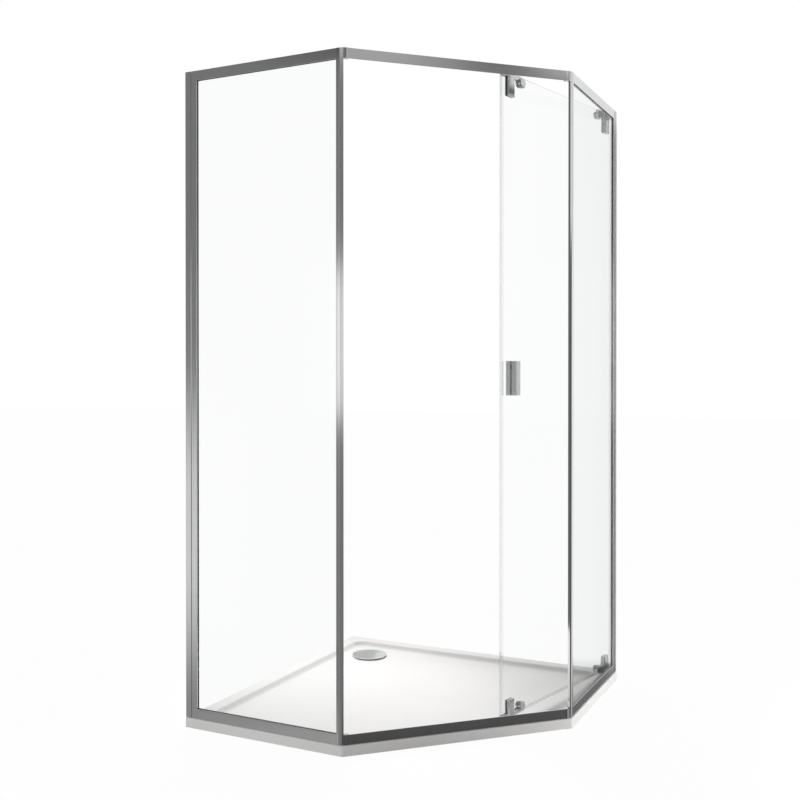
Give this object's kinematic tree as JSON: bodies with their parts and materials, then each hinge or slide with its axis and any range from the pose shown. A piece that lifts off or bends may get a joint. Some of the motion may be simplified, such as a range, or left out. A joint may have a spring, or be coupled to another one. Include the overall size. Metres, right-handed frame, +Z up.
{
  "type": "corner shower enclosure",
  "caption": "Five-sided corner shower enclosure: framed fixed glass returns on a low white tray, and a glass door that slides and swings open across the corner.",
  "frame": {"origin": "on the floor, under the middle of the tray's square", "axes": "+Z up; the room's walls are the planes at -X and +Y, and the doorway faces +X and -Y at 45 degrees"},
  "size_m": [1, 1, 1.878],
  "materials": {
    "polished_aluminium": "polished",
    "bright_chrome": "polished",
    "stainless_steel": "satin",
    "clear_glass": "clear",
    "grey_seal": "matte",
    "clear_seal": "clear",
    "white_acrylic": "gloss",
    "white_nylon": "matte"
  },
  "bodies": {
    "frame": {"doorway_bottom_rail": "polished_aluminium", "doorway_top_rail": "polished_aluminium", "left_bottom_elbow": "polished_aluminium", "left_bottom_rail": "polished_aluminium", "left_corner_post": "polished_aluminium", "left_expander": "polished_aluminium", "left_gasket": "grey_seal", "left_glass": "clear_glass", "left_post_cap": "polished_aluminium", "left_stile": "polished_aluminium", "left_top_elbow": "polished_aluminium", "left_top_rail": "polished_aluminium", "left_wall_channel": "polished_aluminium", "right_bottom_elbow": "polished_aluminium", "right_bottom_rail": "polished_aluminium", "right_bottom_track": "polished_aluminium", "right_corner_post": "polished_aluminium", "right_expander": "polished_aluminium", "right_gasket": "grey_seal", "right_glass": "clear_glass", "right_post_cap": "polished_aluminium", "right_stile": "polished_aluminium", "right_top_elbow": "polished_aluminium", "right_top_rail": "polished_aluminium", "right_top_track": "polished_aluminium", "right_wall_channel": "polished_aluminium", "side_screws": "stainless_steel", "strike_profile": "polished_aluminium", "strike_seal": "grey_seal", "tray": "white_acrylic", "waste_flange": "bright_chrome", "waste_strainer": "stainless_steel"},
    "lift_off_cover": {"waste_cover": "bright_chrome"},
    "rear_carriage": {"rear_bottom_shoe": "white_nylon", "rear_top_shoe": "white_nylon"},
    "door": {"boss_bolts": "stainless_steel", "door_glass": "clear_glass", "front_bottom_fitting_inner": "bright_chrome", "front_bottom_fitting_outer": "bright_chrome", "front_bottom_pin": "stainless_steel", "front_top_fitting_inner": "bright_chrome", "front_top_fitting_outer": "bright_chrome", "front_top_pin": "stainless_steel", "handle_bolts": "stainless_steel", "handle_inner": "bright_chrome", "handle_outer": "bright_chrome", "leading_seal": "clear_seal", "rear_bottom_fitting_inner": "bright_chrome", "rear_bottom_fitting_outer": "bright_chrome", "rear_bottom_pin": "stainless_steel", "rear_top_fitting_inner": "bright_chrome", "rear_top_fitting_outer": "bright_chrome", "rear_top_pin": "stainless_steel", "sweep_seal": "clear_seal", "trailing_seal": "clear_seal"},
    "front_bottom_guide": {"front_bottom_roller": "white_nylon"},
    "front_top_guide": {"front_top_roller": "white_nylon"}
  },
  "joints": [
    {"name": "cover_lift", "type": "slide", "parent": "frame", "child": "lift_off_cover", "axis": [0, 0, 1], "range_m": [0, 0.06]},
    {"name": "door_travel", "type": "slide", "parent": "frame", "child": "rear_carriage", "axis": [0, -1, 0], "range_m": [0, 0.4928]},
    {"name": "door_swing", "type": "hinge", "parent": "rear_carriage", "child": "door", "pos_m": [0.473, 0.486, 0.953], "axis": [0, 0, -1], "range_deg": [0, 32.69]},
    {"name": "front_bottom_spin", "type": "hinge", "parent": "door", "child": "front_bottom_guide", "pos_m": [0.33466, -0.14523, 0.0339], "axis": [0, 0, 1], "continuous": true},
    {"name": "front_top_spin", "type": "hinge", "parent": "door", "child": "front_top_guide", "pos_m": [0.33466, -0.14523, 1.8721], "axis": [0, 0, 1], "continuous": true}
  ],
  "couplings": [
    {"joint": "door_swing", "follows": "door_travel", "rad_per_m": 1.1557}
  ]
}
